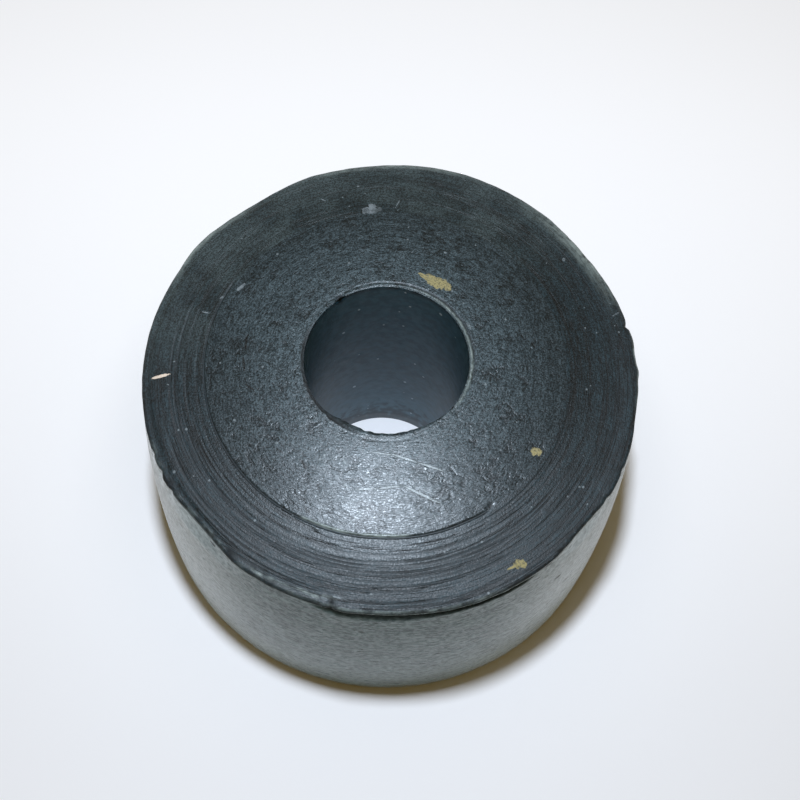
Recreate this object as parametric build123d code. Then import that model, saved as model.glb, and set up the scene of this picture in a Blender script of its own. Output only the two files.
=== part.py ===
from build123d import *
import math
import os

# Shock absorber bushing: one thick ring of solid rubber, squeezed between two cup washers
# on the damper's stud. Millimetres, +Z up, standing on its foot face.
# The origin is the middle of the bore at the foot face.

# ---- driving dimensions ----
height = 25.4                       # at the mouth of the bore
bore_diameter = 12.5
face_diameter = 38.1                # the top face, cut off with a parting tool
foot_diameter = 40.0
belly_diameter = 39.9               # the wall swells slightly at mid height
outside_shift = 0.4                 # the top face's edge runs this far off the bore, towards +X
lean_back, lean_left = 2.0, 0.35    # degrees: the cut isn't quite square to the bar

# ---- the top face is a low cone in two stretches, highest round the bore ----
step_radius = 13.75                 # where the slope changes
step_drop = 1.2                     # below the mouth of the bore
rim_drop = 2.3

foot_bevel = 0.5                    # broken edge between the wall and the foot face
mouth_bevel = 0.2                   # broken edge at each mouth of the bore

# ---- marks of the parting tool ----
step_width, step_depth = 0.3, 0.2   # the ring cut along the change of slope
step_start, step_sweep = 146, 160   # degrees from +X: the ring is open at the back right
mark_count = 11                     # finer marks outside that ring
mark_first, mark_pitch = 14.85, 0.34
mark_width, mark_depth = 0.26, 0.12
mark_start, mark_sweep = 165, 140
long_marks = 3                      # every so many marks run much further round
long_start, long_sweep = 150, 230

# ---- edge of the top face ----
wear_angle = 42                     # the edge is rubbed widest here, degrees from +X
wear_width, wear_shift = 0.45, 0.5  # width of the rubbed band, and how far it leans to one side
wear_drop = 0.7
flats = [(127, 0.25), (222, 0.38), (321, 0.26)]         # rubbed flats: angle, depth
flat_slope = 24                     # degrees from upright

# ---- torn lip at the front ----
lip_angle = 276                     # middle of the undercut, degrees from +X
lip_thickness = 0.3
undercut_height, undercut_depth = 0.75, 0.5
undercut_reach = 29                 # degrees each side before it runs out
tear_angle, tear_width, tear_depth = 258, 0.9, 0.6

face_radius, foot_radius = face_diameter / 2, foot_diameter / 2
belly_radius, bore_radius = belly_diameter / 2, bore_diameter / 2
rim_height = height - rim_drop
rim_slope = (rim_drop - step_drop) / (face_radius - step_radius)
beyond = 6                          # how far a cutting solid runs past the rubber


def face_height(radius):
    """Height of the top face at a distance from the bore's axis."""
    if radius < step_radius:
        return height - step_drop * (radius - bore_radius) / (step_radius - bore_radius)
    return height - step_drop - rim_slope * (radius - step_radius)


def ring_from(points):
    """Turns a closed outline of (radius, height) points into a ring."""
    outline = Polyline(*[(r, 0, z) for r, z in points], close=True)
    return revolve(make_face(outline), Axis.Z)


def wall_radius(level):
    """Radius of the barrelled wall: a parabola through foot, belly and face."""
    t = 2 * level / rim_height - 1
    ends = (face_radius + foot_radius) / 2
    return belly_radius - (belly_radius - ends) * t * t + (face_radius - foot_radius) / 2 * t


def outside():
    """The cut length of bar: a barrelled wall that leans a little, and a broken edge at the foot."""
    spare = 1                       # the bar is left this much too long at each end
    low, high = -spare, height + spare
    corners = [(wall_radius(low), 0, low), (belly_radius, 0, rim_height / 2), (face_radius, 0, rim_height)]
    wall = ThreePointArc(*corners)
    ends = Polyline(corners[2], (face_radius, 0, high), (0, 0, high), (0, 0, low), corners[0])
    bar = revolve(make_face(wall + ends), Axis.Z)
    bar = Pos(0, 0, rim_height) * Rot(lean_back, lean_left, 0) * Pos(0, 0, -rim_height) * bar
    bar = split(bar, Plane.XY, keep=Keep.TOP)
    return chamfer(bar.edges().sort_by(Axis.Z)[0], foot_bevel)


def parting_cut():
    """What the parting tool took off above the two slopes of the face."""
    edge = face_radius + beyond
    return ring_from([(bore_radius, height), (step_radius, face_height(step_radius)),
                      (edge, face_height(edge)), (edge, height + beyond), (bore_radius, height + beyond)])


def groove(radius, width, depth, start, sweep):
    """A V cut of the given width and depth in the face, round part of a circle."""
    over = 0.1
    wide = width / 2 * (1 + over / depth)
    level = face_height(radius)
    corners = [(radius - wide, 0, level + over), (radius + wide, 0, level + over),
               (radius, 0, level - depth)]
    cut = revolve(make_face(Polyline(*corners, close=True)), Axis.Z, revolution_arc=sweep)
    return Rot(0, 0, start) * cut


def tool_marks():
    """Fine uneven arcs outside the step, deepest on the front left; every few run further."""
    cuts = []
    for n in range(mark_count):
        radius = mark_first + mark_pitch * n + 0.06 * math.sin(2.3 * n)
        depth = mark_depth * (0.8 + 0.2 * math.cos(1.7 * n))
        if n % long_marks == 0:
            cuts.append(groove(radius, mark_width, depth, long_start, long_sweep))
        else:
            start = mark_start + 20 * math.sin(3.1 * n)
            cuts.append(groove(radius, mark_width, depth, start, mark_sweep))
    return cuts


def rubbed_edge():
    """A ring that bevels the edge, shifted so the bevel is wide on one side and none opposite."""
    low, high = rim_height - wear_drop, rim_height + wear_drop
    inner = face_radius - wear_width
    outer = belly_radius + beyond
    run = 1.25 * wear_drop
    ring = ring_from([(inner + run, low), (outer, low), (outer, high), (inner - run, high)])
    toward = math.radians(wear_angle + 180)
    return Pos(wear_shift * math.cos(toward), wear_shift * math.sin(toward), 0) * ring


def rubbed_flat(angle, depth):
    """A block leaning on the edge of the face, so that it takes off one flat."""
    size = 2 * beyond
    block = Box(size, size, size, align=(Align.MIN, Align.CENTER, Align.CENTER))
    return Rot(0, 0, angle) * Pos(face_radius - depth, 0, rim_height) * Rot(0, -flat_slope, 0) * block


def undercut():
    """A groove just below the face. Its axis is shifted back, so it bites only at the front."""
    roof = rim_height - lip_thickness
    shift = undercut_depth / (1 - math.cos(math.radians(undercut_reach)))
    inner = face_radius - undercut_depth + shift
    outer = inner + beyond
    floor = roof - undercut_height
    ring = ring_from([(inner, roof), (outer, roof), (outer, floor - 0.2), (inner, floor)])
    back = math.radians(lip_angle + 180)
    return Pos(shift * math.cos(back), shift * math.sin(back), 0) * ring


def tear():
    """The notch where the lip starts, torn down through the edge."""
    wedge = Box(2 * tear_depth, tear_width, 1.6)
    return Rot(0, 0, tear_angle) * Pos(face_radius, 0, rim_height - 0.3) * Rot(0, 20, 35) * wedge


def bushing():
    shift = Pos(outside_shift, 0, 0)
    body = shift * outside()
    body -= parting_cut()
    body -= groove(step_radius, step_width, step_depth, step_start, step_sweep)
    body -= tool_marks()
    body -= shift * rubbed_edge()
    body -= [shift * rubbed_flat(angle, depth) for angle, depth in flats]
    body -= shift * undercut()
    body -= shift * tear()
    body -= Pos(0, 0, height / 2) * Cylinder(bore_radius, height + 2 * beyond)
    mouths = [e for e in body.edges().filter_by(GeomType.CIRCLE) if abs(e.radius - bore_radius) < 1e-6]
    return chamfer(mouths, mouth_bevel)


os.makedirs("parts", exist_ok=True)
export_step(bushing(), "parts/bushing.step")
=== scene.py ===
import bpy
import math
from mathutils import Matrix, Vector, noise


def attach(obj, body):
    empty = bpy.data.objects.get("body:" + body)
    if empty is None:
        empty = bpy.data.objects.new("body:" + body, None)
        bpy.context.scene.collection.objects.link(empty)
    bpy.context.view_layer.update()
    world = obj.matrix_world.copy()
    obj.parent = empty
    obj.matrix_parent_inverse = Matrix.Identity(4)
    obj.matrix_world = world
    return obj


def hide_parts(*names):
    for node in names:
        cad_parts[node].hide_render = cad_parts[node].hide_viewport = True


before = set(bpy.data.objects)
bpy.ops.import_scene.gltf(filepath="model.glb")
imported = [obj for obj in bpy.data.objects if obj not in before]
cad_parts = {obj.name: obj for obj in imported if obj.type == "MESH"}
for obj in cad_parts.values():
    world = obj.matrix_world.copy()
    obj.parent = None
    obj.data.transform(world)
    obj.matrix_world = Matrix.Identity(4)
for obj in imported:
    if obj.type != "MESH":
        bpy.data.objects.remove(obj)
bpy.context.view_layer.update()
mm = 0.001


def nothingSelected():
    if bpy.context.object and bpy.context.object.mode != "OBJECT":
        bpy.ops.object.mode_set(mode="OBJECT")
    bpy.ops.object.select_all(action="DESELECT")


def fade(value, low, high):
    # 0 below low, 1 above high, eased between them
    t = min(max((value - low) / (high - low), 0.0), 1.0)
    return t * t * (3 - 2 * t)


def turn(a, b):
    # signed degrees from b to a, between -180 and 180
    return (a - b + 180) % 360 - 180


def hump(angle, middle, reach):
    # 1 at the middle angle, easing to 0 at reach degrees either side
    return 1 - fade(abs(turn(angle, middle)), 0, reach)


def span(angle, low, high, soft):
    # 1 between two angles, easing to 0 from soft degrees inside each to soft degrees past it
    half = (high - low) / 2
    return 1 - fade(abs(turn(angle, (low + high) / 2)), half - soft, half + soft)


def vee(distance, middle, halfWidth):
    # a V-shaped cut: 1 on the line, 0 at its shoulders
    return max(0.0, 1 - abs(distance - middle) / halfWidth)


def away(angle, distance, height=0):
    # the place at that angle and distance from the bore's axis
    turned = math.radians(angle)
    return Vector((distance * math.cos(turned), distance * math.sin(turned), height))


# The rubber ring. Its section is drawn by extruding a point, then spun round.
# It is in millimetres until carveRing has shaped it.

ring = {
    "height": 25.4,             # at the mouth of the bore
    "boreRadius": 6.25,
    "faceRadius": 19.05,        # top face
    "footRadius": 19.97,
    "bellyRadius": 19.87,       # at mid height
    "stepRadius": 13.75,        # the top face is a low cone, steeper outside this
    "stepDrop": 1.2,
    "rimDrop": 2.3,
    "mouthSlope": 0.112,        # slope of the face at the bore, steeper to the step
    "footBevel": 0.45,
    "shift": 0.4,               # the face's edge runs this far off the bore
    "lean": (-0.14, 0.8),       # and the foot this far off the face's edge
    "shifted": (17.6, 18.7),    # the shift and lean come in between these radii
    "segments": 400,
}

section = {                     # where the finer stretches of the half section start and end
    "mouthBelow": 1.5,          # down the bore from its mouth
    "mouthOut": 0.7,            # out from the bore
    "stepReach": 0.6,           # either side of the step
    "rimIn": 0.5,               # in from the face's edge
    "rimBelow": 1.4,            # down the wall from the face's edge
    "upperWallBelow": 7,
}

rows = {                        # how finely each stretch is divided
    "boreWall": 18,
    "boreMouth": 12,
    "mouthRing": 14,
    "tornZone": 44,
    "stepBand": 18,
    "markBand": 50,
    "rim": 8,
    "underRim": 14,
    "upperWall": 18,
    "lowerWall": 18,
    "footEdge": 3,
    "footFace": 6,
}

joins = {                       # points closer than this become one
    "drawn": 0.001,
    "spun": 0.004,
}
slack = 0.001                   # a point this near a surface lies on it


def rimHeight():
    return ring["height"] - ring["rimDrop"]


def faceHeight(r):
    # a shallow dome round the bore, then an even slope outside the step
    out, run = r - ring["boreRadius"], ring["stepRadius"] - ring["boreRadius"]
    if out < run:
        rounding = (ring["stepDrop"] - ring["mouthSlope"] * run) / run ** 2
        return ring["height"] - ring["mouthSlope"] * out - rounding * out ** 2
    t = (r - ring["stepRadius"]) / (ring["faceRadius"] - ring["stepRadius"])
    return ring["height"] - ring["stepDrop"] - (ring["rimDrop"] - ring["stepDrop"]) * t


def wallRadius(z):
    # the wall is a shallow arc through foot, belly and face
    half = rimHeight() / 2
    t = (z - half) / half
    ends = (ring["faceRadius"] + ring["footRadius"]) / 2
    lean = (ring["faceRadius"] - ring["footRadius"]) / 2
    return ring["bellyRadius"] - (ring["bellyRadius"] - ends) * t * t + lean * t


def penTo(pen, r, z, stretch, follow=None):
    # draws the section on from the pen's place, by extruding the active point in equal steps;
    # a row that follows the face gets its height from it, and one that follows the wall its radius
    start = pen.copy()
    for n in range(1, rows[stretch] + 1):
        spot = start.lerp(Vector((r, 0, z)), n / rows[stretch])
        if follow == "face":
            spot.z = faceHeight(spot.x)
        elif follow == "wall":
            spot.x = wallRadius(spot.z)
        bpy.ops.mesh.extrude_region_move(TRANSFORM_OT_translate={"value": spot - pen})
        pen.xyz = spot


def drawSection():
    # the half section lies in the XZ plane; a tiny circle, merged to one point, is the pen
    rb, rf, rs = ring["boreRadius"], ring["faceRadius"], ring["stepRadius"]
    top, rim, bevel = ring["height"], rimHeight(), ring["footBevel"]
    bpy.ops.mesh.primitive_circle_add(vertices=3, radius=0.01, location=(0, 0, 0))
    piece = bpy.context.object
    bpy.ops.object.mode_set(mode="EDIT")
    bpy.ops.mesh.merge(type="CENTER")
    pen = Vector((rb, 0, 0))
    bpy.ops.transform.translate(value=pen)
    penTo(pen, rb, top - section["mouthBelow"], "boreWall")
    penTo(pen, rb, top, "boreMouth")
    penTo(pen, rb + section["mouthOut"], 0, "mouthRing", follow="face")
    penTo(pen, rs - section["stepReach"], 0, "tornZone", follow="face")
    penTo(pen, rs + section["stepReach"], 0, "stepBand", follow="face")
    penTo(pen, rf - section["rimIn"], 0, "markBand", follow="face")
    penTo(pen, rf, 0, "rim", follow="face")
    penTo(pen, 0, rim - section["rimBelow"], "underRim", follow="wall")
    penTo(pen, 0, rim - section["upperWallBelow"], "upperWall", follow="wall")
    penTo(pen, 0, bevel, "lowerWall", follow="wall")
    penTo(pen, wallRadius(0) - bevel, 0, "footEdge")
    penTo(pen, rb, 0, "footFace")
    return piece


def turnRing():
    nothingSelected()
    piece = drawSection()
    piece.name = "rubberRing"
    piece.data.name = "rubberRing"
    bpy.ops.mesh.select_all(action="SELECT")
    bpy.ops.mesh.remove_doubles(threshold=joins["drawn"])
    bpy.ops.mesh.spin(steps=ring["segments"], angle=2 * math.pi, center=(0, 0, 0), axis=(0, 0, 1))
    bpy.ops.mesh.select_all(action="SELECT")
    bpy.ops.mesh.remove_doubles(threshold=joins["spun"])
    bpy.ops.mesh.normals_make_consistent(inside=False)
    bpy.ops.object.mode_set(mode="OBJECT")
    return piece


bushing = turnRing()
print("turned ring:", len(bushing.data.vertices), "points")


# What the parting tool and long use left on it. Angles are degrees from +X, seen from above.
# Three numbers for a stretch are where it starts and ends and how softly, and two for a side its middle
# and reach. Two numbers for a line are its distance and half width, and for unevenness its height and size.

toolCuts = {
    "level": 0.11,              # the face lies this far low, so that burrs stay within the height
    "tornBlend": 0.1,           # either side of the step
    "lumps": (0.014, 1.7),      # unevenness of the torn rubber
    "outerLumps": 0.5,          # how much of it is left outside the step
    "tearing": (0.006, 0.5),
    "outerTearing": 0.25,
    "wobble": (0.05, 4.0),      # how far the rings stray from round
}

stepRing = {                    # the ring cut where the slope changes
    "stretch": (152, 305, 3),
    "depth": 0.13,
    "halfWidth": 0.1,
    "wander": 0.17,             # how much wider the ring is where it starts
    "wanderGone": (160, 235),   # the angles between which that goes
    # painted shade in the ring cut
    "dark": 0.85,
    "litStretch": (250, 300, 10),
    "lit": 0.35,                # how much less painted shade it has there
    "burrStretch": (246, 279, 2),
    "burrRise": 0.05,           # a burr stands just inside the ring at the front
    "burrLine": (-0.14, 0.12),
    # a painted highlight on the burr's edge
    "burrHighlight": 1.5,
}

toolMarks = {
    "halfWidth": 0.095,
    "ends": 7,                  # degrees over which a mark fades out
    "waver": 0.06,              # how far a mark strays from its radius
    "waverTurns": 3,
    "skipSize": 4.5,            # length of the stretches where the tool cut less
    "skipDepth": 0.45,
    "skips": (-0.35, 0.1),
    "sink": 0.7,
    # painted shade in the marks, darker the deeper they are
    "dark": 0.8,
    "darkest": 0.13,            # the depth of the darkest mark
    "marks": [                  # radius, from, to, depth
        (14.2, 300, 345, 0.05), (14.45, 165, 215, 0.05), (14.5, 306, 336, 0.06),
        (14.72, 298, 338, 0.06), (14.97, 200, 330, 0.07), (15.25, 150, 218, 0.07),
        (15.5, 204, 300, 0.09), (15.74, 194, 324, 0.13), (15.96, 160, 320, 0.13),
        (16.2, 180, 314, 0.1), (16.42, 150, 300, 0.1), (16.62, 255, 300, 0.06),
        (16.86, 262, 332, 0.08), (17.2, 204, 306, 0.08), (17.55, 216, 290, 0.05),
        (18.0, 222, 262, 0.06), (18.32, 262, 300, 0.08), (18.58, 262, 304, 0.07),
    ],
}

dent = {                        # where the step's ring runs out
    "angle": 306.5,
    "distance": 13.55,
    "halfWidth": 0.22,
    "halfLength": 0.2,
    "depth": 0.09,
    "ragged": (0.35, 0.25),
    "steep": 1.6,
    # painted shade in the dent
    "dark": 1.4,
}

rimWear = {
    "flats": [(127, 16, 0.3), (160, 10, 0.05), (224, 15, 0.42), (321, 13, 0.3), (352, 8, 0.12)],
    "swells": [(50, 14, 0.12), (80, 26, 0.2), (146, 9, 0.16), (262, 7, 0.1), (290, 18, 0.08)],
    "nicks": [(15.5, 1.1, 0.2), (3.5, 2.6, -0.13), (11.5, 3.4, -0.12), (203, 1.3, 0.12),
              (208, 1.6, 0.2), (213, 1.0, 0.15), (330, 1.4, 0.1), (338, 1.0, 0.12)],
    "uneven": (0.03, 0.05),     # on a circle of radius 1
    "flatRun": 2.4,             # how far down the wall a flat reaches
    "flatIn": 1.6,              # and how far in on the face
    "swellRun": 4.0,
    "swellIn": 3.0,
    "rounding": 0.22,           # how far in the edge is rounded everywhere
    "rubbed": [                 # middle, reach, width, drop
        (40, 26, 1.15, 0.5), (92, 34, 0.7, 0.2), (143, 20, 0.7, 0.22), (5, 14, 0.2, 0.08),
    ],
    "rubbedUneven": (0.15, 0.6),
    "rubbedPale": 1.3,
    "rubbedIn": 0.12,           # how far in the wall's top is rubbed, for a width of 1
    "rubbedRun": 0.7,           # and how far down
    "dropRun": 2.4,             # the wall is lowered with the edge down to here
}

edgeTear = {                    # the torn stretch of the face's edge
    "stretch": (198, 258, 8),
    "coarse": (0.7, 1.3),
    "fine": (0.4, 0.45),
    "strip": (0.25, 0.9),       # it fades between these distances from the edge
    "out": 0.07,
    "down": 0.05,
    # painted shade in the torn stretch where it stands out
    "dark": 2.0,
    "pale": 0.9,
    "paleLine": (0.15, 0.25),
    "wallRun": 0.6,             # how far down the wall it reaches
    "wallStretch": (204, 262, 6),
    # painted shade in a line under the torn edge, on the wall
    "wallDark": 0.8,
    "wallLine": (0.2, 0.2),
}

edgeLines = {                   # pale lines along the edge, at the front
    "torn": (239, 259, 2),
    "tornLine": (0.4, 0.25),
    "tornWander": (0.5, 1.4),
    "tornPale": 0.8,
    "tornGaps": (-0.5, 0.2),
    "tornGapSize": 0.5,
    "straight": (258, 296, 5),
    "straightLine": (0.12, 0.14),
    "straightPale": 0.5,
}

lip = {                         # a thin lip overhangs an undercut round the front
    "stretch": (257, 304, 3),
    "thickness": 0.28,
    "undercutHeight": 1.2,
    "undercutDepth": 0.25,
    "least": 0.3,               # height of the undercut at its ends
    "tallest": (268, 26),
    "tallShare": 0.6,           # how much of the height is lost away from there
    "roofRun": 0.22,
    "floorRun": 0.25,
    "shadeFrom": (-0.05, 0.1),  # from the lip's underside
    "shadeTo": (0.45, 0.65),
    "shadeTall": 0.6,
    "notch": (259.2, 1.2),
    "notchDepth": 0.1,
    "notchIn": (0.9, 0.2),      # from the face's edge
    "notchDown": (0.3, 1.0),
    # painted shade in the notch
    "notchDark": (0.4, 1.2),
}

mouth = {                       # the edge of the bore, as seen on the face
    "reach": 0.6,
    "openSide": (45, 105),      # the ring and its groove are strongest here
    "rest": 0.15,               # and this strong everywhere else
    "waver": (0.04, 0.5),
    "torn": (160, 246, 14),
    "jagged": (0.1, 0.35),
    # painted shade along the torn side of the mouth
    "tornDark": (0.2, 0.3),
    "tornDrop": 0.12,
    "tornRun": 0.25,
    "pale": (-28, 70, 16),
    "paleLine": (0.2, 0.17),
    "bevel": 0.2,
    "bevelRun": 0.14,
    "ringLine": (0.14, 0.14),   # a fine ring stands round the mouth, with a groove outside it
    "ringRise": 0.05,
    "grooveLine": (0.4, 0.14),
    "grooveDepth": 0.1,
    "darkLine": (0.4, 0.13),
    "dark": 1.9,                # how dark the painted shade in the groove's line is on the open side,
    "darkLess": 0.8,            # less this all round
    "notch": (127, 5),
    "notchDepth": 0.3,
    "notchOut": (0.15, 0.45),
    # painted shade in the notch
    "notchDark": (0.2, 0.5),
}

boreWear = {                    # just inside the bore
    "ripple": (0.004, 0.8),
    "rippleDown": 0.1,          # less makes longer ripples
    "hanging": 0.2,             # a thin torn edge hangs into the mouth at the front
    "hangingStretch": (228, 308, 18),
    "tongue": 0.14,             # and further here
    "tonguePlace": (243, 18),
    "hangingRun": (0.15, 0.5),
    "hangingUneven": (0.4, 0.4),
    # painted shade in the notch and along the mouth's edge
    "notchRun": (0.1, 0.5),
    "notchDark": (0.4, 1.1),
    "footBevel": 0.04,
    "footRun": 0.4,
    "edgeDark": (-20, 245, 20),
    "edgeRun": (0.1, 0.7),
    "edgeShare": 0.65,
    "edgeUneven": (0.5, 0.5),
    "openDrop": 0.6,            # how much of the mouth's bevel lowers the rows below it
    "tornDrop": 0.1,
    "dropRun": 1.4,
}

wallLumps = {
    "coarse": (0.018, 2.5),
    "fine": (0.008, 0.7),
    "fineFlat": 3,              # how much flatter than long the fine ones are
    "foot": (0.02, 1.5),        # on the foot face
}


def grain(x, y, layer, size):
    # smooth noise in -1 to 1; layer sets one use apart from another
    return noise.noise(Vector((x, y, layer)) / size)


class Point:
    # a point of the ring while it is shaped: where it was, and what has been done to it
    def __init__(self, place):
        self.x, self.y, self.z = place
        self.out = self.r = math.hypot(self.x, self.y)
        self.way = self.x / self.r, self.y / self.r
        self.angle = math.degrees(math.atan2(self.way[1], self.way[0])) % 360
        # dark holds painted shade, pale holds wear and painted highlights
        self.rise = self.dark = self.pale = 0.0

    def grain(self, layer, size):
        return grain(self.x, self.y, layer, size)

    def rough(self, layer, kind, base=0):
        # unevenness of that height and size; a base of 1 keeps it above 0
        return kind[0] * (base + self.grain(layer, kind[1]))

    # painted shade, in cuts, dents, notches and hollows
    def paintShade(self, amount):
        self.dark = max(self.dark, amount)

    # pale marks: rubbed wear, pale lines along the edges, and a painted highlight on the burr
    def markWearAndHighlight(self, amount):
        self.pale = max(self.pale, amount)


def rimShift(angle):
    # how far the rim runs out or in, as two parts: swells that run down the wall, flats that don't
    wear = rimWear
    swell = sum(height * hump(angle, middle, reach) for middle, reach, height in wear["swells"])
    swell += wear["uneven"][0] * grain(*away(angle, 1, 3), wear["uneven"][1])
    flat = sum(depth * hump(angle, middle, reach) for middle, reach, depth in wear["flats"])
    flat += sum(depth * hump(angle, middle, reach) for middle, reach, depth in wear["nicks"])
    return swell, flat


def edgeTorn(p):
    # how far the torn stretch of the edge stands out, or in where it is negative
    rough = p.rough(8, edgeTear["coarse"]) + p.rough(8, edgeTear["fine"])
    return span(p.angle, *edgeTear["stretch"]) * rough


def carveStep(p, wobble):
    # the ring at the step, with painted shade in it, and the burr inside it, with a painted highlight
    step = stepRing
    outwards = p.r - ring["stepRadius"]
    wander = step["wander"] * (1 - fade(p.angle, *step["wanderGone"]))
    cut = vee(outwards - wander - wobble, 0, step["halfWidth"]) * span(p.angle, *step["stretch"])
    p.rise -= step["depth"] * cut
    p.paintShade(cut * (step["dark"] - step["lit"] * span(p.angle, *step["litStretch"])))
    burr = vee(outwards - wobble, *step["burrLine"]) * span(p.angle, *step["burrStretch"])
    p.rise += step["burrRise"] * burr
    p.markWearAndHighlight(min(1.0, step["burrHighlight"] * burr))


def carveMarks(p):
    look = toolMarks
    for number, (radius, low, high, depth) in enumerate(look["marks"]):
        waver = look["waver"] * grain(*away(p.angle, look["waverTurns"], number), 1.0)
        cut = vee(p.r - radius - waver, 0, look["halfWidth"]) * span(p.angle, low, high, look["ends"])
        if cut > 0:
            full = fade(p.grain(number * 3, look["skipSize"]), *look["skips"])
            cut *= look["skipDepth"] + (1 - look["skipDepth"]) * full
            p.rise -= look["sink"] * depth * cut
            # painted shade in the mark
            p.paintShade(look["dark"] * cut * depth / look["darkest"])


def carveDent(p):
    across = math.radians(turn(p.angle, dent["angle"])) * p.r / dent["halfWidth"]
    along = (p.r - dent["distance"]) / dent["halfLength"]
    hollow = max(0.0, 1 - math.hypot(across, along) + p.rough(2, dent["ragged"]))
    p.rise -= dent["depth"] * min(1.0, dent["steep"] * hollow)
    # painted shade in the dent
    p.paintShade(min(1.0, dent["dark"] * hollow))


def carveFace(p):
    cuts, step = toolCuts, ring["stepRadius"]
    torn = 1 - fade(p.r, step - cuts["tornBlend"], step + cuts["tornBlend"])
    lumpy = cuts["outerLumps"] + (1 - cuts["outerLumps"]) * torn
    tearing = cuts["outerTearing"] + (1 - cuts["outerTearing"]) * torn
    p.rise -= cuts["level"]
    p.rise += p.rough(0, cuts["lumps"]) * lumpy
    p.rise += p.rough(5, cuts["tearing"]) * tearing
    carveStep(p, p.rough(9, cuts["wobble"]))
    carveMarks(p)
    carveDent(p)


def wearEdge(p, swell, flat, torn):
    # the face's edge: its swells and flats, its rounding, and where it is torn or rubbed off
    wear, tear, lines, rf = rimWear, edgeTear, edgeLines, ring["faceRadius"]
    p.r += swell * fade(p.r, rf - wear["swellIn"], rf) - flat * fade(p.r, rf - wear["flatIn"], rf)
    inFromEdge = max(0.0, rf + swell - flat - p.r)
    p.rise -= 0.5 * wear["rounding"] * (1 - fade(inFromEdge, 0, wear["rounding"])) ** 2
    strip = 1 - fade(inFromEdge, *tear["strip"])
    p.r += tear["out"] * torn * strip
    p.rise -= tear["down"] * max(0.0, torn) * strip
    p.markWearAndHighlight(tear["pale"] * max(0.0, -torn) * vee(inFromEdge, *tear["paleLine"]))
    # painted shade in the torn stretch
    p.paintShade(min(1.0, tear["dark"] * max(0.0, torn) * strip))
    line = span(p.angle, *lines["torn"])
    line *= vee(inFromEdge + p.rough(12, lines["tornWander"]), *lines["tornLine"])
    p.markWearAndHighlight(lines["tornPale"] * line * fade(p.grain(13, lines["tornGapSize"]), *lines["tornGaps"]))
    line = span(p.angle, *lines["straight"]) * vee(inFromEdge, *lines["straightLine"])
    p.markWearAndHighlight(lines["straightPale"] * line)
    for middle, reach, width, drop in wear["rubbed"]:
        share = hump(p.angle, middle, reach)
        if share > 0 and inFromEdge < width:
            worn = share * (1 - inFromEdge / width) ** 1.5
            worn *= 1 - wear["rubbedUneven"][0] + p.rough(7, wear["rubbedUneven"])
            p.rise -= drop * worn
            p.markWearAndHighlight(min(1.0, wear["rubbedPale"] * share * (1 - inFromEdge / width)))


def wearMouth(p, outwards):
    # the face close round the bore: the torn side, the fine ring and its groove, the notch, with painted
    # shade in the torn side, the groove's line and the notch
    strength = mouth["rest"] + (1 - mouth["rest"]) * hump(p.angle, *mouth["openSide"])
    opened = strength - mouth["rest"]
    waved = outwards + p.rough(11, mouth["waver"])
    torn = span(p.angle, *mouth["torn"])
    jagged = outwards + p.rough(14, mouth["jagged"])
    p.paintShade(torn * (1 - fade(jagged, *mouth["tornDark"])))
    p.rise -= mouth["tornDrop"] * torn * (1 - fade(jagged, 0.0, mouth["tornRun"]))
    p.markWearAndHighlight(span(p.angle, *mouth["pale"]) * vee(waved, *mouth["paleLine"]))
    p.rise -= mouth["grooveDepth"] * vee(waved, *mouth["grooveLine"]) * strength
    p.rise += mouth["ringRise"] * vee(outwards, *mouth["ringLine"]) * opened
    p.paintShade((mouth["dark"] * strength - mouth["darkLess"]) * vee(waved, *mouth["darkLine"]))
    p.rise -= mouth["bevel"] * max(0.0, 1 - outwards / mouth["bevelRun"]) * opened
    notch = hump(p.angle, *mouth["notch"])
    p.rise -= mouth["notchDepth"] * notch * (1 - fade(outwards, *mouth["notchOut"]))
    p.paintShade(notch * (1 - fade(outwards, *mouth["notchDark"])))


def shapeBore(p):
    # the bore's wall, never inside its true radius but where the torn edge hangs in
    wear, below = boreWear, ring["height"] - p.z
    p.r += p.rough(p.z * wear["rippleDown"], wear["ripple"], 1) / 2
    hanging = wear["hanging"] * span(p.angle, *wear["hangingStretch"])
    hanging += wear["tongue"] * hump(p.angle, *wear["tonguePlace"])
    p.r -= hanging * (1 - fade(below, *wear["hangingRun"])) * (1 + p.rough(4, wear["hangingUneven"]))
    notch = hump(p.angle, *mouth["notch"])
    p.r += mouth["notchDepth"] * notch * (1 - fade(below, *wear["notchRun"]))
    p.r += wear["footBevel"] * (1 - fade(p.z, 0, wear["footRun"]))
    # painted shade in the notch and just below the mouth's edge
    p.paintShade(notch * (1 - fade(below, *wear["notchDark"])))
    edge = (1 - fade(below, *wear["edgeRun"])) * (wear["edgeShare"] + p.rough(p.z, wear["edgeUneven"]))
    p.paintShade(edge * span(p.angle, *wear["edgeDark"]))
    # the mouth's edge is lowered with the face
    lowered = toolCuts["level"] + wear["openDrop"] * mouth["bevel"] * hump(p.angle, *mouth["openSide"])
    lowered += wear["tornDrop"] * span(p.angle, *mouth["torn"])
    p.rise = -lowered * max(0.0, 1 - below / wear["dropRun"])


def undercut(p, below):
    # the hollow under the lip, and the painted shade in it
    inLip = span(p.angle, *lip["stretch"])
    if inLip > 0:
        roof = lip["thickness"]
        tallShare = 1 - lip["tallShare"] + lip["tallShare"] * hump(p.angle, *lip["tallest"])
        tall = lip["least"] + lip["undercutHeight"] * inLip * tallShare
        bite = fade(below, roof, roof + lip["roofRun"])
        bite *= 1 - fade(below, roof + lip["floorRun"], roof + tall)
        p.r -= lip["undercutDepth"] * bite * inLip
        start, end = lip["shadeFrom"], lip["shadeTo"]
        shade = fade(below, roof + start[0], roof + start[1])
        shade *= 1 - fade(below, roof + end[0], roof + end[1] + lip["shadeTall"] * tall)
        p.paintShade(shade * inLip)


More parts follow.
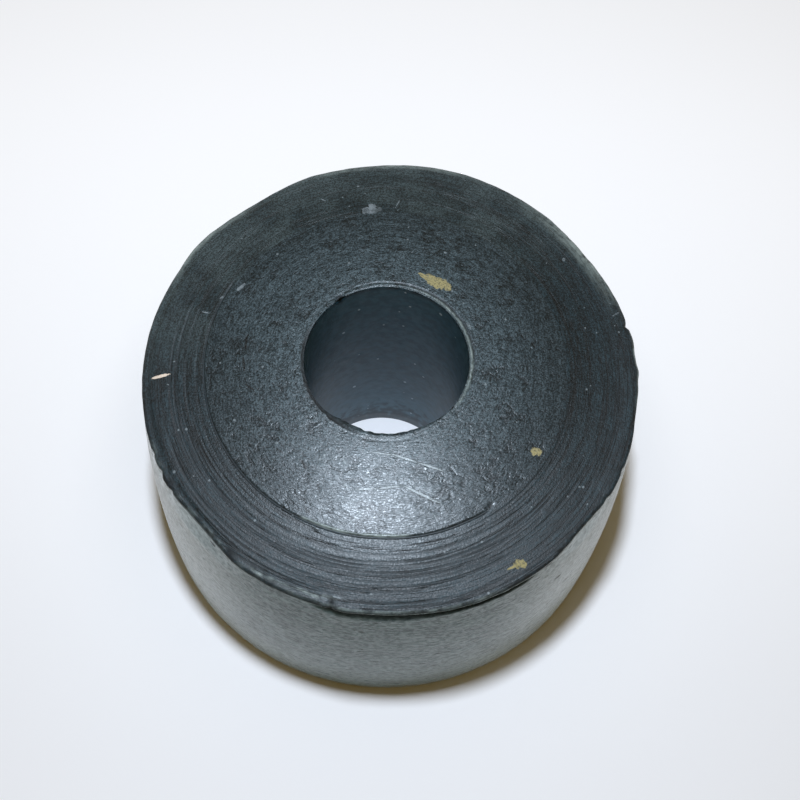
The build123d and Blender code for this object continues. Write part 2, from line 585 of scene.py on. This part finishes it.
def shapeWall(p, swell, flat, torn):
    # the wall runs out only at the edge's swells and tears
    wear, lumps, tear, rounding = rimWear, wallLumps, edgeTear, rimWear["rounding"]
    below = rimHeight() - p.z
    p.r -= p.rough(p.z, lumps["coarse"], 1) + p.rough(p.z * lumps["fineFlat"], lumps["fine"], 1)
    # lowered with the worn edge of the face
    lowered = toolCuts["level"] + 0.5 * rounding + tear["down"] * max(0.0, torn)
    lowered += sum(drop * hump(p.angle, middle, reach) for middle, reach, width, drop in wear["rubbed"])
    p.rise = -lowered * max(0.0, 1 - below / wear["dropRun"])
    p.r += swell * (1 - fade(below, 0, wear["swellRun"]))
    p.r -= flat * max(0.0, 1 - below / wear["flatRun"])
    p.r -= 0.5 * rounding * (1 - fade(below, 0, rounding)) ** 2
    p.r += tear["out"] * torn * (1 - fade(below, 0, tear["wallRun"]))
    # painted shade in a line under the torn edge
    p.paintShade(tear["wallDark"] * span(p.angle, *tear["wallStretch"]) * vee(below, *tear["wallLine"]))
    for middle, reach, width, drop in wear["rubbed"]:
        rubbed = hump(p.angle, middle, reach) * (1 - fade(below, 0, wear["rubbedRun"]))
        p.r -= wear["rubbedIn"] * rubbed * width
    undercut(p, below)


def notchLip(p):
    # the tear at the lip's left end, through face and wall, with painted shade in it
    rf, below = ring["faceRadius"], rimHeight() - p.z
    notch = hump(p.angle, *lip["notch"]) * fade(p.r, rf - lip["notchIn"][0], rf - lip["notchIn"][1])
    p.r -= lip["notchDepth"] * notch * (1 - fade(below, *lip["notchDown"]))
    p.paintShade(notch * (1 - fade(below, *lip["notchDark"])))


def shapePoint(p):
    swell, flat = rimShift(p.angle)
    torn = edgeTorn(p)
    if p.r <= ring["boreRadius"] + slack:
        shapeBore(p)
    elif p.z > rimHeight() - slack:
        carveFace(p)
        wearEdge(p, swell, flat, torn)
        outwards = p.r - ring["boreRadius"]
        if outwards < mouth["reach"]:
            wearMouth(p, outwards)
        notchLip(p)
    elif p.z < slack:
        p.rise = p.rough(0, wallLumps["foot"], 1) / 2
    else:
        shapeWall(p, swell, flat, torn)
        notchLip(p)


def finalPlace(p):
    # in metres, with the outside slid off the bore's axis and leaning
    out = fade(p.out, *ring["shifted"])
    lower = max(0.0, 1 - p.z / rimHeight())
    slideX = out * (ring["shift"] + ring["lean"][0] * lower)
    slideY = out * ring["lean"][1] * lower
    return Vector((p.r * p.way[0] + slideX, p.r * p.way[1] + slideY, max(0.0, p.z + p.rise))) * mm


def paintZones(piece):
    # slot 0 is the cut face, 1 the wall and the foot, 2 the bore
    for face in piece.data.polygons:
        r, z = math.hypot(face.center.x, face.center.y), face.center.z
        if r < ring["boreRadius"]:
            face.material_index = 2
        elif z > rimHeight():
            face.material_index = 0
        else:
            face.material_index = 1


def carveRing(piece):
    # two attributes tell the materials where shade is painted, in cuts, dents, notches and under the lip,
    # and where it is pale, from wear and from painted highlights
    dark = piece.data.attributes.new("paintedShade", "FLOAT", "POINT")
    pale = piece.data.attributes.new("paleWearAndHighlight", "FLOAT", "POINT")
    for v in piece.data.vertices:
        p = Point(v.co)
        shapePoint(p)
        v.co = finalPlace(p)
        dark.data[v.index].value = min(1.0, p.dark)
        pale.data[v.index].value = min(1.0, p.pale)
    piece.data.update()
    for face in piece.data.polygons:
        face.use_smooth = True


paintZones(bushing)
carveRing(bushing)
print("carved ring")


# Node helpers. Patterns work in millimetres, measured from the bore's axis.

def put(tree, kind, values=None, **settings):
    # adds a node, with its settings and what goes into its inputs
    node = tree.nodes.new(kind)
    for name, value in settings.items():
        setattr(node, name, value)
    feed(tree, node, values or {})
    return node


def feed(tree, node, values):
    for key, value in values.items():
        if isinstance(value, bpy.types.NodeSocket):
            tree.links.new(value, node.inputs[key])
        else:
            node.inputs[key].default_value = value


def calc(tree, operation, a, b=0.0, c=0.0):
    return put(tree, "ShaderNodeMath", {0: a, 1: b, 2: c}, operation=operation).outputs[0]


def times(tree, a, b):
    return calc(tree, "MULTIPLY", a, b)


def larger(tree, a, b):
    return calc(tree, "MAXIMUM", a, b)


def oneLess(tree, value):
    # 1 minus the value
    return calc(tree, "SUBTRACT", 1.0, value)


def timesPlus(tree, value, factor, more):
    return calc(tree, "MULTIPLY_ADD", value, factor, more)


def total(tree, parts):
    # adds up values, each with its share
    so = None
    for value, share in parts:
        so = times(tree, value, share) if so is None else timesPlus(tree, value, share, so)
    return so


def ease(tree, value, low, high, start=0.0, end=1.0):
    ends = {"Value": value, "From Min": low, "From Max": high, "To Min": start, "To Max": end}
    return put(tree, "ShaderNodeMapRange", ends, interpolation_type="SMOOTHSTEP").outputs[0]


def blend(tree, amount, a, b):
    # mixes two colours
    return put(tree, "ShaderNodeMix", {0: amount, 6: a, 7: b}, data_type="RGBA").outputs[2]


def vector(tree, operation, values):
    return put(tree, "ShaderNodeVectorMath", values, operation=operation).outputs


def cloud(tree, spot, scale, detail, **more):
    values = {"Vector": spot, "Scale": scale, "Detail": detail, **more}
    return put(tree, "ShaderNodeTexNoise", values).outputs[0]


def painted(tree, name):
    # what carveRing wrote on the points
    return put(tree, "ShaderNodeAttribute", attribute_name=name).outputs["Fac"]


def tint(red, green, blue):
    return (red, green, blue, 1)


def startGroup(name, inputs, outputs):
    # every input is a number but the vectors
    group = bpy.data.node_groups.new(name, "ShaderNodeTree")
    for socket in inputs:
        kind = "NodeSocketVector" if socket in ("Vector", "Centre") else "NodeSocketFloat"
        group.interface.new_socket(socket, in_out="INPUT", socket_type=kind)
    for socket in outputs:
        group.interface.new_socket(socket, in_out="OUTPUT", socket_type="NodeSocketFloat")
    return group, group.nodes.new("NodeGroupInput").outputs, group.nodes.new("NodeGroupOutput")


def polar(tree, spot):
    # the way outwards as a unit vector's x and y, then the distance out, then the height
    parts = put(tree, "ShaderNodeSeparateXYZ", {0: spot}).outputs
    flat = put(tree, "ShaderNodeCombineXYZ", {0: parts[0], 1: parts[1]}).outputs[0]
    distance = vector(tree, "LENGTH", {0: flat})["Value"]
    way = put(tree, "ShaderNodeSeparateXYZ", {0: vector(tree, "NORMALIZE", {0: flat})[0]}).outputs
    return {"x": way[0], "y": way[1], "distance": distance, "height": parts[2]}


def ringwise(tree, spot, around, across):
    # a vector in which a pattern runs round the ring, on a face as well as on a wall, without a seam
    place = polar(tree, spot)
    run = calc(tree, "ADD", place["distance"], place["height"])
    return put(tree, "ShaderNodeCombineXYZ", {0: times(tree, place["x"], around),
               1: times(tree, place["y"], around), 2: times(tree, run, across)}).outputs[0]


def makeStreaks():
    # long thin noise that runs round the ring, on a face as well as on a wall
    tree, given, out = startGroup("turnedStreaks", ["Vector", "Round", "Fine"], ["Streak"])
    spot = ringwise(tree, given["Vector"], given["Round"], given["Fine"])
    feed(tree, out, {"Streak": cloud(tree, spot, 1.0, 3.0, Roughness=0.6)})
    return tree


def makeTornGrain():
    # curly ridges, as rubber leaves when it tears, longer round the ring than across it
    tree, given, out = startGroup("tornGrain", ["Vector", "Size"], ["Ridge", "Mottle"])
    scale = calc(tree, "DIVIDE", 1.0, given["Size"])
    spot = ringwise(tree, given["Vector"], times(tree, scale, 4.5), scale)
    curly = cloud(tree, spot, 1.0, 2.0, Roughness=0.55, Distortion=0.5)
    fold = calc(tree, "ABSOLUTE", calc(tree, "SUBTRACT", curly, 0.5))
    mottle = cloud(tree, given["Vector"], times(tree, scale, 0.35), 3.0, Roughness=0.6)
    feed(tree, out, {"Ridge": ease(tree, fold, 0.0, 0.12, 1.0, 0.0), "Mottle": mottle})
    return tree


def makeSpecks():
    # round specks scattered through the rubber; Share is how many cells hold one
    tree, given, out = startGroup("specks", ["Vector", "Size", "Share"], ["Mask"])
    cells = put(tree, "ShaderNodeTexVoronoi", {"Vector": given["Vector"],
                "Scale": calc(tree, "DIVIDE", 1.0, given["Size"]), "Randomness": 1.0}).outputs
    chance = put(tree, "ShaderNodeSeparateColor", {0: cells["Color"]}).outputs
    chosen = calc(tree, "LESS_THAN", chance[0], given["Share"])
    reach = ease(tree, chance[1], 0.0, 1.0, 0.16, 0.4)
    inside = ease(tree, calc(tree, "SUBTRACT", cells["Distance"], reach), -0.08, 0.04, 1.0, 0.0)
    feed(tree, out, {"Mask": times(tree, chosen, inside)})
    return tree


def makeStroke():
    # one scratch or fleck: an ellipse, turned and placed, whose edge follows the noise given
    tree, given, out = startGroup("stroke", ["Vector", "Centre", "Turn", "Half Length", "Half Width",
                                             "Ragged", "Noise"], ["Mask"])
    offset = vector(tree, "SUBTRACT", {0: given["Vector"], 1: given["Centre"]})[0]
    turned = put(tree, "ShaderNodeVectorRotate", {"Vector": offset,
                 "Angle": times(tree, given["Turn"], -1.0)}, rotation_type="Z_AXIS").outputs[0]
    parts = put(tree, "ShaderNodeSeparateXYZ", {0: turned}).outputs
    along = calc(tree, "DIVIDE", parts[0], given["Half Length"])
    across = calc(tree, "DIVIDE", parts[1], given["Half Width"])
    shape = put(tree, "ShaderNodeCombineXYZ", {0: along, 1: across}).outputs[0]
    reach = timesPlus(tree, given["Noise"], given["Ragged"], vector(tree, "LENGTH", {0: shape})["Value"])
    feed(tree, out, {"Mask": ease(tree, reach, 0.8, 1.05, 1.0, 0.0)})
    return tree


groups = {"streaks": makeStreaks(), "grain": makeTornGrain(), "specks": makeSpecks(), "stroke": makeStroke()}


def use(tree, name, values):
    # places a node group
    return put(tree, "ShaderNodeGroup", values, node_tree=groups[name]).outputs


def streaks(tree, spot, runs):
    # runs is how fine they are round the ring and across it
    return use(tree, "streaks", {"Vector": spot, "Round": runs[0], "Fine": runs[1]})["Streak"]


def specks(tree, spot, kind):
    # kind is their size and share
    return use(tree, "specks", {"Vector": spot, "Size": kind[0], "Share": kind[1]})["Mask"]


def startMaterial(name):
    material = bpy.data.materials.new(name)
    material.use_nodes = True
    tree = material.node_tree
    place = put(tree, "ShaderNodeTexCoord").outputs["Object"]
    spot = vector(tree, "SCALE", {0: place, "Scale": 1 / mm})[0]
    return material, tree, spot, tree.nodes["Principled BSDF"]


def endMaterial(tree, shader, base, rough, relief, others):
    # relief is in millimetres
    bump = put(tree, "ShaderNodeBump", {"Strength": 1.0, "Distance": mm, "Height": relief}).outputs[0]
    feed(tree, shader, {"Base Color": base, "Roughness": rough, "Normal": bump, **others})


def fleck(angle, distance, lean, halfLength, halfWidth, ragged):
    # lean is degrees from the way outwards
    return away(angle, distance), math.radians(angle + lean), halfLength, halfWidth, ragged


def scratch(fromAngle, fromDistance, toAngle, toDistance, halfWidth, ragged=0.4):
    start, end = away(fromAngle, fromDistance), away(toAngle, toDistance)
    run = end - start
    return (start + end) / 2, math.atan2(run.y, run.x), run.length / 2, halfWidth, ragged


def strokes(tree, spot, drawn):
    # several strokes as one mask, all flattened onto one level
    level = vector(tree, "MULTIPLY", {0: spot, 1: (1, 1, 0)})[0]
    noisy = calc(tree, "SUBTRACT", cloud(tree, level, 3.2, 2.0), 0.5)
    mask = None
    for centre, turned, halfLength, halfWidth, ragged in drawn:
        one = use(tree, "stroke", {"Vector": level, "Centre": centre, "Turn": turned, "Noise": noisy,
                  "Half Length": halfLength, "Half Width": halfWidth, "Ragged": ragged})["Mask"]
        mask = one if mask is None else larger(tree, mask, one)
    return mask


cutRubber = {                   # the torn and cut top face
    "torn": tint(0.008, 0.017, 0.022),
    "tornLight": tint(0.062, 0.09, 0.103),
    "marked": tint(0.001, 0.004, 0.006),
    "markedLight": tint(0.012, 0.028, 0.036),
    "bloomAndBackLight": tint(0.038, 0.056, 0.06),    # greenish grey bloom on the back half of the outer band, partly painted light from the brighter back
    # near black: painted shade in cuts, dents and hollows, and the tone of the fine ring lines and the dark
    # low patches in the bore
    "cut": tint(0.002, 0.003, 0.004),
    # pale of rubbed wear, also the painted highlight on the burr
    "worn": tint(0.22, 0.27, 0.26),
    "dust": tint(0.26, 0.31, 0.33),
    # scratches painted pale, standing in for the highlight they catch
    "scratch": tint(0.36, 0.42, 0.44),
    "khaki": tint(0.31, 0.27, 0.12),
    "straw": tint(0.74, 0.62, 0.5),
    "chip": tint(0.2, 0.24, 0.26),
    "tornEdge": (13.62, 13.82),           # radii, in millimetres
    "boreEdge": (6.4, 9.5),
    "rimEdge": (17.3, 18.6),
    "grainSize": 0.19,
    "tearSize": 0.55,
    "sandScale": 8.0,
    "patchScale": 0.32,
    "fineStreaks": (11.0, 9.0),
    "longStreaks": (4.0, 3.0),
    "fibres": (22.0, 8.0),
    "ringLines": (1.6, 6.0),
    "specks": (0.3, 0.016),
    "tornRough": 0.285,
    "markedRough": 0.37,
    "specular": 0.66,
    "specularTint": tint(0.92, 0.98, 1.0),
    "sheen": 0.04,                        # coat on the torn zone
    "sheenRough": 0.24,
}

khakiFlecks = [
    fleck(63.5, 7.78, 84, 0.95, 0.5, 1.1), fleck(57, 8.0, 60, 0.6, 0.33, 0.9),
    fleck(70.5, 7.85, 70, 0.55, 0.2, 0.9), fleck(330.3, 13.15, 40, 0.42, 0.36, 1.1),
    fleck(304.7, 18.15, 60, 0.48, 0.36, 1.3), fleck(303, 18.1, 84, 0.5, 0.1, 0.9),
]
strawFlecks = [fleck(184.6, 17.2, 8.5, 0.74, 0.14, 0.9)]
chips = [
    fleck(97.5, 14.0, 95, 0.78, 0.42, 1.5), fleck(97, 14.4, 20, 0.35, 0.3, 1.2),
    scratch(89.4, 14.3, 88.2, 15.2, 0.04, 0.8),
    fleck(157.8, 14.07, 60, 0.22, 0.09, 0.5), fleck(151.9, 13.15, 80, 0.5, 0.16, 1.4),
    fleck(164.2, 14.7, 0, 0.34, 0.06, 0.7), fleck(37.5, 17.3, 30, 0.18, 0.14, 0.5),
    fleck(18.5, 18.8, 20, 0.4, 0.07, 0.5), fleck(28, 6.95, 90, 0.35, 0.14, 0.8),
    fleck(111, 15.9, 40, 0.25, 0.06, 0.6), fleck(258.6, 18.5, 80, 0.3, 0.12, 0.9),
    fleck(262, 18.25, 88, 0.5, 0.07, 0.9),
]
scores = [                      # scratches painted pale as the highlight they catch; these stand up in the relief as well
    scratch(278.6, 9.95, 292.4, 12.0, 0.11), scratch(259.3, 10.52, 269.6, 10.2, 0.07, 0.8),
    scratch(268.4, 10.22, 279, 10.05, 0.09, 0.7), scratch(263.2, 7.56, 276.5, 7.74, 0.06, 0.9),
    scratch(274.1, 7.57, 288.6, 8.62, 0.1, 0.6), scratch(287.4, 8.5, 298.2, 9.82, 0.09, 0.7),
]
# fainter scratches, painted pale as the highlight they catch
scratches = [
    scratch(281.5, 9.95, 294.5, 11.85, 0.045, 0.8), scratch(264.5, 11.76, 259.8, 13.27, 0.06, 1.1),
    scratch(288.3, 12.4, 289.2, 13.24, 0.05, 1.0), fleck(251.6, 8.7, 50, 0.3, 0.08, 1.5),
    fleck(256, 10.42, 60, 0.28, 0.1, 1.5),
]
# painted shade in small dents and cracks, and a shadow line beside the long scratch
shadeTicks = [
    scratch(278.2, 10.12, 292, 12.16, 0.045, 0.8), scratch(276.5, 8.4, 276.1, 9.6, 0.05, 0.6),
    scratch(276.1, 9.6, 281, 9.54, 0.035, 0.8),
    scratch(233.4, 10.12, 239, 10.5, 0.15, 1.3), scratch(244.3, 12.75, 248, 13.27, 0.13, 1.3),
    scratch(223.5, 10.75, 227.2, 10.6, 0.09, 1.3), scratch(251.9, 10.55, 259.8, 10.47, 0.045, 1.2),
    scratch(170.5, 10.9, 177, 10.75, 0.1, 1.3), scratch(196, 10.2, 192, 10.8, 0.09, 1.2),
    scratch(179.5, 10.9, 187, 10.75, 0.1, 1.3), fleck(306.3, 13.6, 120, 0.2, 0.08, 0.6),
]


def makeCutRubber():
    material, tree, spot, shader = startMaterial("cutRubber")
    look = cutRubber
    place = polar(tree, spot)
    distance = place["distance"]
    torn = ease(tree, distance, *look["tornEdge"], 1.0, 0.0)
    nearBore = ease(tree, distance, *look["boreEdge"], 1.0, 0.0)
    nearRim = ease(tree, distance, *look["rimEdge"])
    # the back half, where the tone is painted lighter for the brighter light from the back
    back = ease(tree, timesPlus(tree, place["x"], -0.35, place["y"]), 0.1, 0.75)
    grained = use(tree, "grain", {"Vector": spot, "Size": look["grainSize"]})
    mottle = grained["Mottle"]
    fineStreak = streaks(tree, spot, look["fineStreaks"])
    paintedShade = painted(tree, "paintedShade")
    sand = cloud(tree, spot, look["sandScale"], 1.0)
    patches = cloud(tree, spot, look["patchScale"], 4.0)

    # how light the rubber is: curly in the torn zone, streaked outside it and round the bore, and painted
    # lighter at the back
    curly = times(tree, grained["Ridge"], ease(tree, mottle, 0.3, 0.6, 0.35, 1.0))
    streaky = ease(tree, fineStreak, 0.44, 0.6)
    banded = ease(tree, streaks(tree, spot, look["longStreaks"]), 0.4, 0.6)
    fibrous = ease(tree, streaks(tree, spot, look["fibres"]), 0.4, 0.6)
    lined = times(tree, ease(tree, streaks(tree, spot, look["ringLines"]), 0.55, 0.6), oneLess(tree, torn))
    tears = use(tree, "grain", {"Vector": spot, "Size": look["tearSize"]})
    tears = times(tree, tears["Ridge"], ease(tree, tears["Mottle"], 0.5, 0.62))
    inner = total(tree, [(banded, 0.25), (curly, 0.4), (fibrous, 0.3),
                         (times(tree, streaky, nearBore), 0.25)])
    outer = total(tree, [(banded, 0.3), (streaky, 0.35), (curly, 0.4)])
    outward = timesPlus(tree, back, 0.16, ease(tree, distance, 7.5, 13.5, 1.1, 0.72))
    tornTone = blend(tree, times(tree, inner, outward), look["torn"], look["tornLight"])
    tornTone = blend(tree, outward, look["marked"], tornTone)
    tornTone = blend(tree, times(tree, tears, 0.7), tornTone, look["marked"])
    markedTone = blend(tree, outer, look["marked"], look["markedLight"])
    markedTone = blend(tree, times(tree, lined, 0.7), markedTone, look["cut"])
    # bloom on the back half of the outer band, partly painted light from the back
    bloomAndBackLit = times(tree, back, ease(tree, patches, 0.35, 0.62, 0.25, 0.95))
    bloomAndBackLit = timesPlus(tree, times(tree, back, nearRim), 0.5, bloomAndBackLit)
    bloomAndBackLit = times(tree, bloomAndBackLit, ease(tree, outer, 0.0, 0.8, 0.6, 1.0))
    markedTone = blend(tree, bloomAndBackLit, markedTone, look["bloomAndBackLight"])
    base = blend(tree, torn, markedTone, tornTone)
    base = vector(tree, "SCALE", {0: base, "Scale": ease(tree, sand, 0.35, 0.65, 0.55, 1.45)})[0]

    # what lies on it, each with how much of it shows: painted shade, pale wear and painted highlights, dust,
    # scratches painted pale where they catch the light, chips and flecks
    scored = strokes(tree, spot, scores)
    scratchGlints = larger(tree, scored, times(tree, strokes(tree, spot, scratches), 0.45))
    khaki = times(tree, strokes(tree, spot, khakiFlecks), ease(tree, sand, 0.36, 0.5, 0.5, 1.0))
    straw = strokes(tree, spot, strawFlecks)
    # how much of the pale shows, for rubbed wear and painted highlights alike
    rubbed = timesPlus(tree, streaky, 0.6, ease(tree, mottle, 0.3, 0.62, 0.15, 0.8))
    for mask, share, colour in (
        (paintedShade, 0.85, "cut"),
        (painted(tree, "paleWearAndHighlight"), rubbed, "worn"),
        (specks(tree, spot, look["specks"]), 0.5, "dust"),
        (scratchGlints, ease(tree, sand, 0.35, 0.6, 0.45, 0.9), "scratch"),
        (strokes(tree, spot, shadeTicks), 0.8, "cut"),
        (strokes(tree, spot, chips), ease(tree, mottle, 0.35, 0.6, 0.3, 0.9), "chip"),
        (khaki, ease(tree, mottle, 0.3, 0.5, 0.6, 1.0), "khaki"),
    ):
        base = blend(tree, times(tree, mask, share), base, look[colour])
    base = blend(tree, straw, base, look["straw"])

    rough = ease(tree, torn, 0.0, 1.0, look["markedRough"], look["tornRough"])
    rough = calc(tree, "ADD", rough, ease(tree, sand, 0.35, 0.65, 0.02, 0.14))
    rough = calc(tree, "ADD", rough, ease(tree, distance, 14.0, 18.5, 0.0, 0.1))
    rough = timesPlus(tree, larger(tree, larger(tree, khaki, straw), paintedShade), 0.3, rough)
    shine = larger(tree, torn, ease(tree, distance, 13.8, 16.5, 0.6, 0.0))
    shine = times(tree, shine, ease(tree, mottle, 0.3, 0.6, 0.5 * look["sheen"], look["sheen"]))
    relief = total(tree, [
        (curly, timesPlus(tree, torn, -0.001, 0.004)),
        (fibrous, times(tree, torn, 0.009)),
        (times(tree, tears, torn), -0.015),
        (lined, -0.02),
        (sand, timesPlus(tree, torn, -0.012, 0.018)),
        (fineStreak, timesPlus(tree, torn, -0.006, 0.014)),
        (times(tree, nearBore, fineStreak), 0.015),
        (scored, 0.03),
    ])
    endMaterial(tree, shader, base, rough, relief, {
        "Coat Weight": shine, "Coat Roughness": look["sheenRough"], "Specular IOR Level": look["specular"],
        "Specular Tint": look["specularTint"]})
    return material


skinRubber = {                  # the satin wall
    "dark": tint(0.018, 0.052, 0.055),
    "light": tint(0.105, 0.185, 0.185),
    "paler": tint(0.37, 0.455, 0.475),    # painted light: paler round the foot, most at the sides, where the wall catches more light and reflection
    "pit": tint(0.01, 0.013, 0.015),
    # near black: painted shade under the lip, in the notch and under the torn edge
    "cut": tint(0.004, 0.006, 0.007),
    "upper": (13.0, 21.5),                # heights between which the upper wall begins
    "lower": (1.0, 11.0),
    "sand": (50.0, 3.4),                  # how fine round the ring and across it
    "streaks": (7.0, 1.6),
    "fineStreaks": (24.0, 4.5),
    "pitRuns": (20.0, 3.4),
    "pits": (1.0, 0.035),                 # size and share
    "speckRuns": (24.0, 4.4),
    "specks": (0.7, 0.35),
    "rough": 0.27,
    "ior": 1.28,
    "specular": 0.2,
    "coat": 0.45,                         # patchy gloss over the satin
    "coatRough": 0.3,
    "sheen": 0.3,                         # dust catches the light on the sides
    "sheenRough": 0.3,
}


def makeSkinRubber():
    material, tree, spot, shader = startMaterial("skinRubber")
    look = skinRubber
    place = polar(tree, spot)
    sand = cloud(tree, ringwise(tree, spot, *look["sand"]), 1.0, 3.0)
    streak = streaks(tree, spot, look["streaks"])
    fineStreak = streaks(tree, spot, look["fineStreaks"])
    pits = specks(tree, ringwise(tree, spot, *look["pitRuns"]), look["pits"])
    upper = ease(tree, place["height"], *look["upper"])
    speckled = specks(tree, ringwise(tree, spot, *look["speckRuns"]), look["specks"])
    pits = larger(tree, pits, times(tree, speckled, times(tree, upper, 0.5)))
    paintedShade = painted(tree, "paintedShade")
    streaky = ease(tree, fineStreak, 0.4, 0.62)
    light = times(tree, ease(tree, streak, 0.38, 0.62), 0.5)
    light = timesPlus(tree, streaky, timesPlus(tree, upper, 0.3, 0.2), light)
    side = calc(tree, "ABSOLUTE", place["x"])
    # painted light: paler round the foot and towards the sides
    low = ease(tree, place["height"], *look["lower"], 1.0, 0.0)
    low = times(tree, low, ease(tree, side, 0.1, 0.7, 0.15, 0.85))
    low = larger(tree, low, ease(tree, side, 0.4, 0.85, 0.0, 0.95))
    base = blend(tree, light, look["dark"], look["light"])
    base = blend(tree, low, base, look["paler"])
    base = vector(tree, "SCALE", {0: base, "Scale": ease(tree, sand, 0.3, 0.7, 0.84, 1.16)})[0]
    base = blend(tree, times(tree, pits, 0.85), base, look["pit"])
    # painted shade under the lip, in the notch and under the torn edge
    base = blend(tree, times(tree, paintedShade, 0.95), base, look["cut"])
    rough = timesPlus(tree, streaky, timesPlus(tree, upper, 0.12, 0.05), look["rough"])
    rough = timesPlus(tree, paintedShade, 0.5, timesPlus(tree, pits, 0.3, rough))
    # patches of gloss
    shine = timesPlus(tree, sand, 0.6, times(tree, fineStreak, 0.4))
    shine = times(tree, ease(tree, shine, 0.43, 0.58, 0.0, look["coat"]), oneLess(tree, paintedShade))
    relief = total(tree, [(pits, -0.03), (fineStreak, timesPlus(tree, upper, 0.012, 0.004)),
                          (streak, 0.02), (sand, 0.02)])
    endMaterial(tree, shader, base, rough, relief, {
        "Coat Weight": shine, "Coat Roughness": look["coatRough"], "Specular IOR Level": look["specular"],
        "IOR": look["ior"], "Sheen Weight": look["sheen"], "Sheen Roughness": look["sheenRough"]})
    return material


boreRubber = {                  # the smooth wall of the bore
    "dark": tint(0.022, 0.07, 0.098),
    "light": tint(0.038, 0.108, 0.148),
    # painted light: paler low in the bore, where light comes up from the floor
    "low": tint(0.07, 0.16, 0.21),
    "speck": tint(0.5, 0.6, 0.66),
    "streaks": (8.0, 1.6),
    "cloudScale": 1.3,
    "specks": (0.4, 0.022),
    "lower": (1.0, 14.0),                 # heights over which the painted light low in the bore fades
    "rough": 0.42,
    "specular": 0.35,
}


def makeBoreRubber():
    material, tree, spot, shader = startMaterial("boreRubber")
    look = boreRubber
    streak = streaks(tree, spot, look["streaks"])
    cloudy = cloud(tree, spot, look["cloudScale"], 4.0)
    # pale dust specks
    paler = specks(tree, spot, look["specks"])
    height = polar(tree, spot)["height"]
    # darker in cloudy patches low in the bore
    darkLowPatches = ease(tree, timesPlus(tree, cloudy, 9.0, times(tree, height, -1.0)), 0.5, 3.5)
    base = blend(tree, ease(tree, streak, 0.35, 0.65), look["dark"], look["light"])
    # painted light, paler towards the foot of the bore
    base = blend(tree, ease(tree, height, *look["lower"], 0.35, 0.0), base, look["low"])
    base = blend(tree, times(tree, darkLowPatches, 0.75), base, cutRubber["cut"])
    base = blend(tree, times(tree, paler, 0.8), base, look["speck"])
    base = blend(tree, painted(tree, "paintedShade"), base, cutRubber["cut"])
    rough = calc(tree, "ADD", look["rough"], times(tree, cloudy, 0.15))
    relief = total(tree, [(paler, 0.02), (cloudy, 0.03)])
    endMaterial(tree, shader, base, rough, relief, {"Specular IOR Level": look["specular"]})
    return material


for rubber in (makeCutRubber(), makeSkinRubber(), makeBoreRubber()):
    bushing.data.materials.append(rubber)
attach(bushing, "root")
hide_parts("bushing")
print("rubber finished")


stage = {
    "floorSize": 4.0,                # m
    "paper": tint(0.93, 0.935, 0.94),
    "paperRough": 0.9,
    "glow": 0.26,                    # the paper's own light, seen by the camera, more towards the back
    "glowAlong": (-30, 45),          # mm, front to back
    "glowAway": (20.5, 30),          # mm from the bore's axis
    "room": tint(1.0, 0.68, 0.22),   # dim warm room light
    "roomStrength": 0.16,
    "backdrop": tint(0.94, 0.96, 1.0),
}

lamp = {
    "place": (-3, -12.5, 168),       # mm, a small softbox above the ring
    "size": 11,
    "power": 0.257,
    "colour": (0.79, 0.87, 1.0),
}


def seenRay(tree):
    # 1 for what the camera sees, straight on, in a gloss or through glass
    path = put(tree, "ShaderNodeLightPath").outputs
    seen = larger(tree, path["Is Camera Ray"], path["Is Glossy Ray"])
    return larger(tree, seen, path["Is Transmission Ray"])


def layFloor():
    nothingSelected()
    bpy.ops.mesh.primitive_plane_add(size=stage["floorSize"], location=(0, 0, 0))
    floor = bpy.context.object
    floor.name = "floor"
    paper, tree, spot, shader = startMaterial("palePaper")
    place = polar(tree, spot)
    glow = ease(tree, times(tree, place["y"], place["distance"]), *stage["glowAlong"], 0.0, stage["glow"])
    glow = times(tree, glow, ease(tree, place["distance"], *stage["glowAway"]))
    feed(tree, shader, {
        "Base Color": stage["paper"], "Roughness": stage["paperRough"], "Specular IOR Level": 0.0,
        "Emission Color": stage["backdrop"], "Emission Strength": times(tree, seenRay(tree), glow)})
    floor.data.materials.append(paper)


def lightStudio():
    world = bpy.data.worlds.new("softRoom")
    bpy.context.scene.world = world
    world.use_nodes = True
    tree = world.node_tree
    room = tree.nodes["Background"]
    feed(tree, room, {"Color": stage["room"], "Strength": stage["roomStrength"]})
    backdrop = put(tree, "ShaderNodeBackground", {"Color": stage["backdrop"]})
    choose = put(tree, "ShaderNodeMixShader", {0: put(tree, "ShaderNodeLightPath").outputs["Is Camera Ray"],
                 1: room.outputs[0], 2: backdrop.outputs[0]})
    tree.links.new(choose.outputs[0], tree.nodes["World Output"].inputs[0])
    bpy.ops.object.light_add(type="AREA", location=[c * mm for c in lamp["place"]])
    softbox = bpy.context.object
    softbox.name = "softbox"
    softbox.data.shape = "DISK"
    softbox.data.size = lamp["size"] * mm
    softbox.data.energy = lamp["power"]
    softbox.data.color = lamp["colour"]
    softbox.visible_camera = False


camera = {
    "eye": (0.38, -46.43, 120.08),       # mm
    "turn": (24.424, -1.476, 2.241),     # degrees
    "lens": 63.0,
    "nearest": 0.001,                    # m
}


def setCamera():
    bpy.ops.object.camera_add(location=[c * mm for c in camera["eye"]],
                              rotation=[math.radians(a) for a in camera["turn"]])
    view = bpy.context.object
    view.name = "viewer"
    view.data.lens = camera["lens"]
    view.data.clip_start = camera["nearest"]
    bpy.context.scene.camera = view


layFloor()
lightStudio()
setCamera()
bpy.context.scene.view_settings.view_transform = "Standard"
print("stage set")
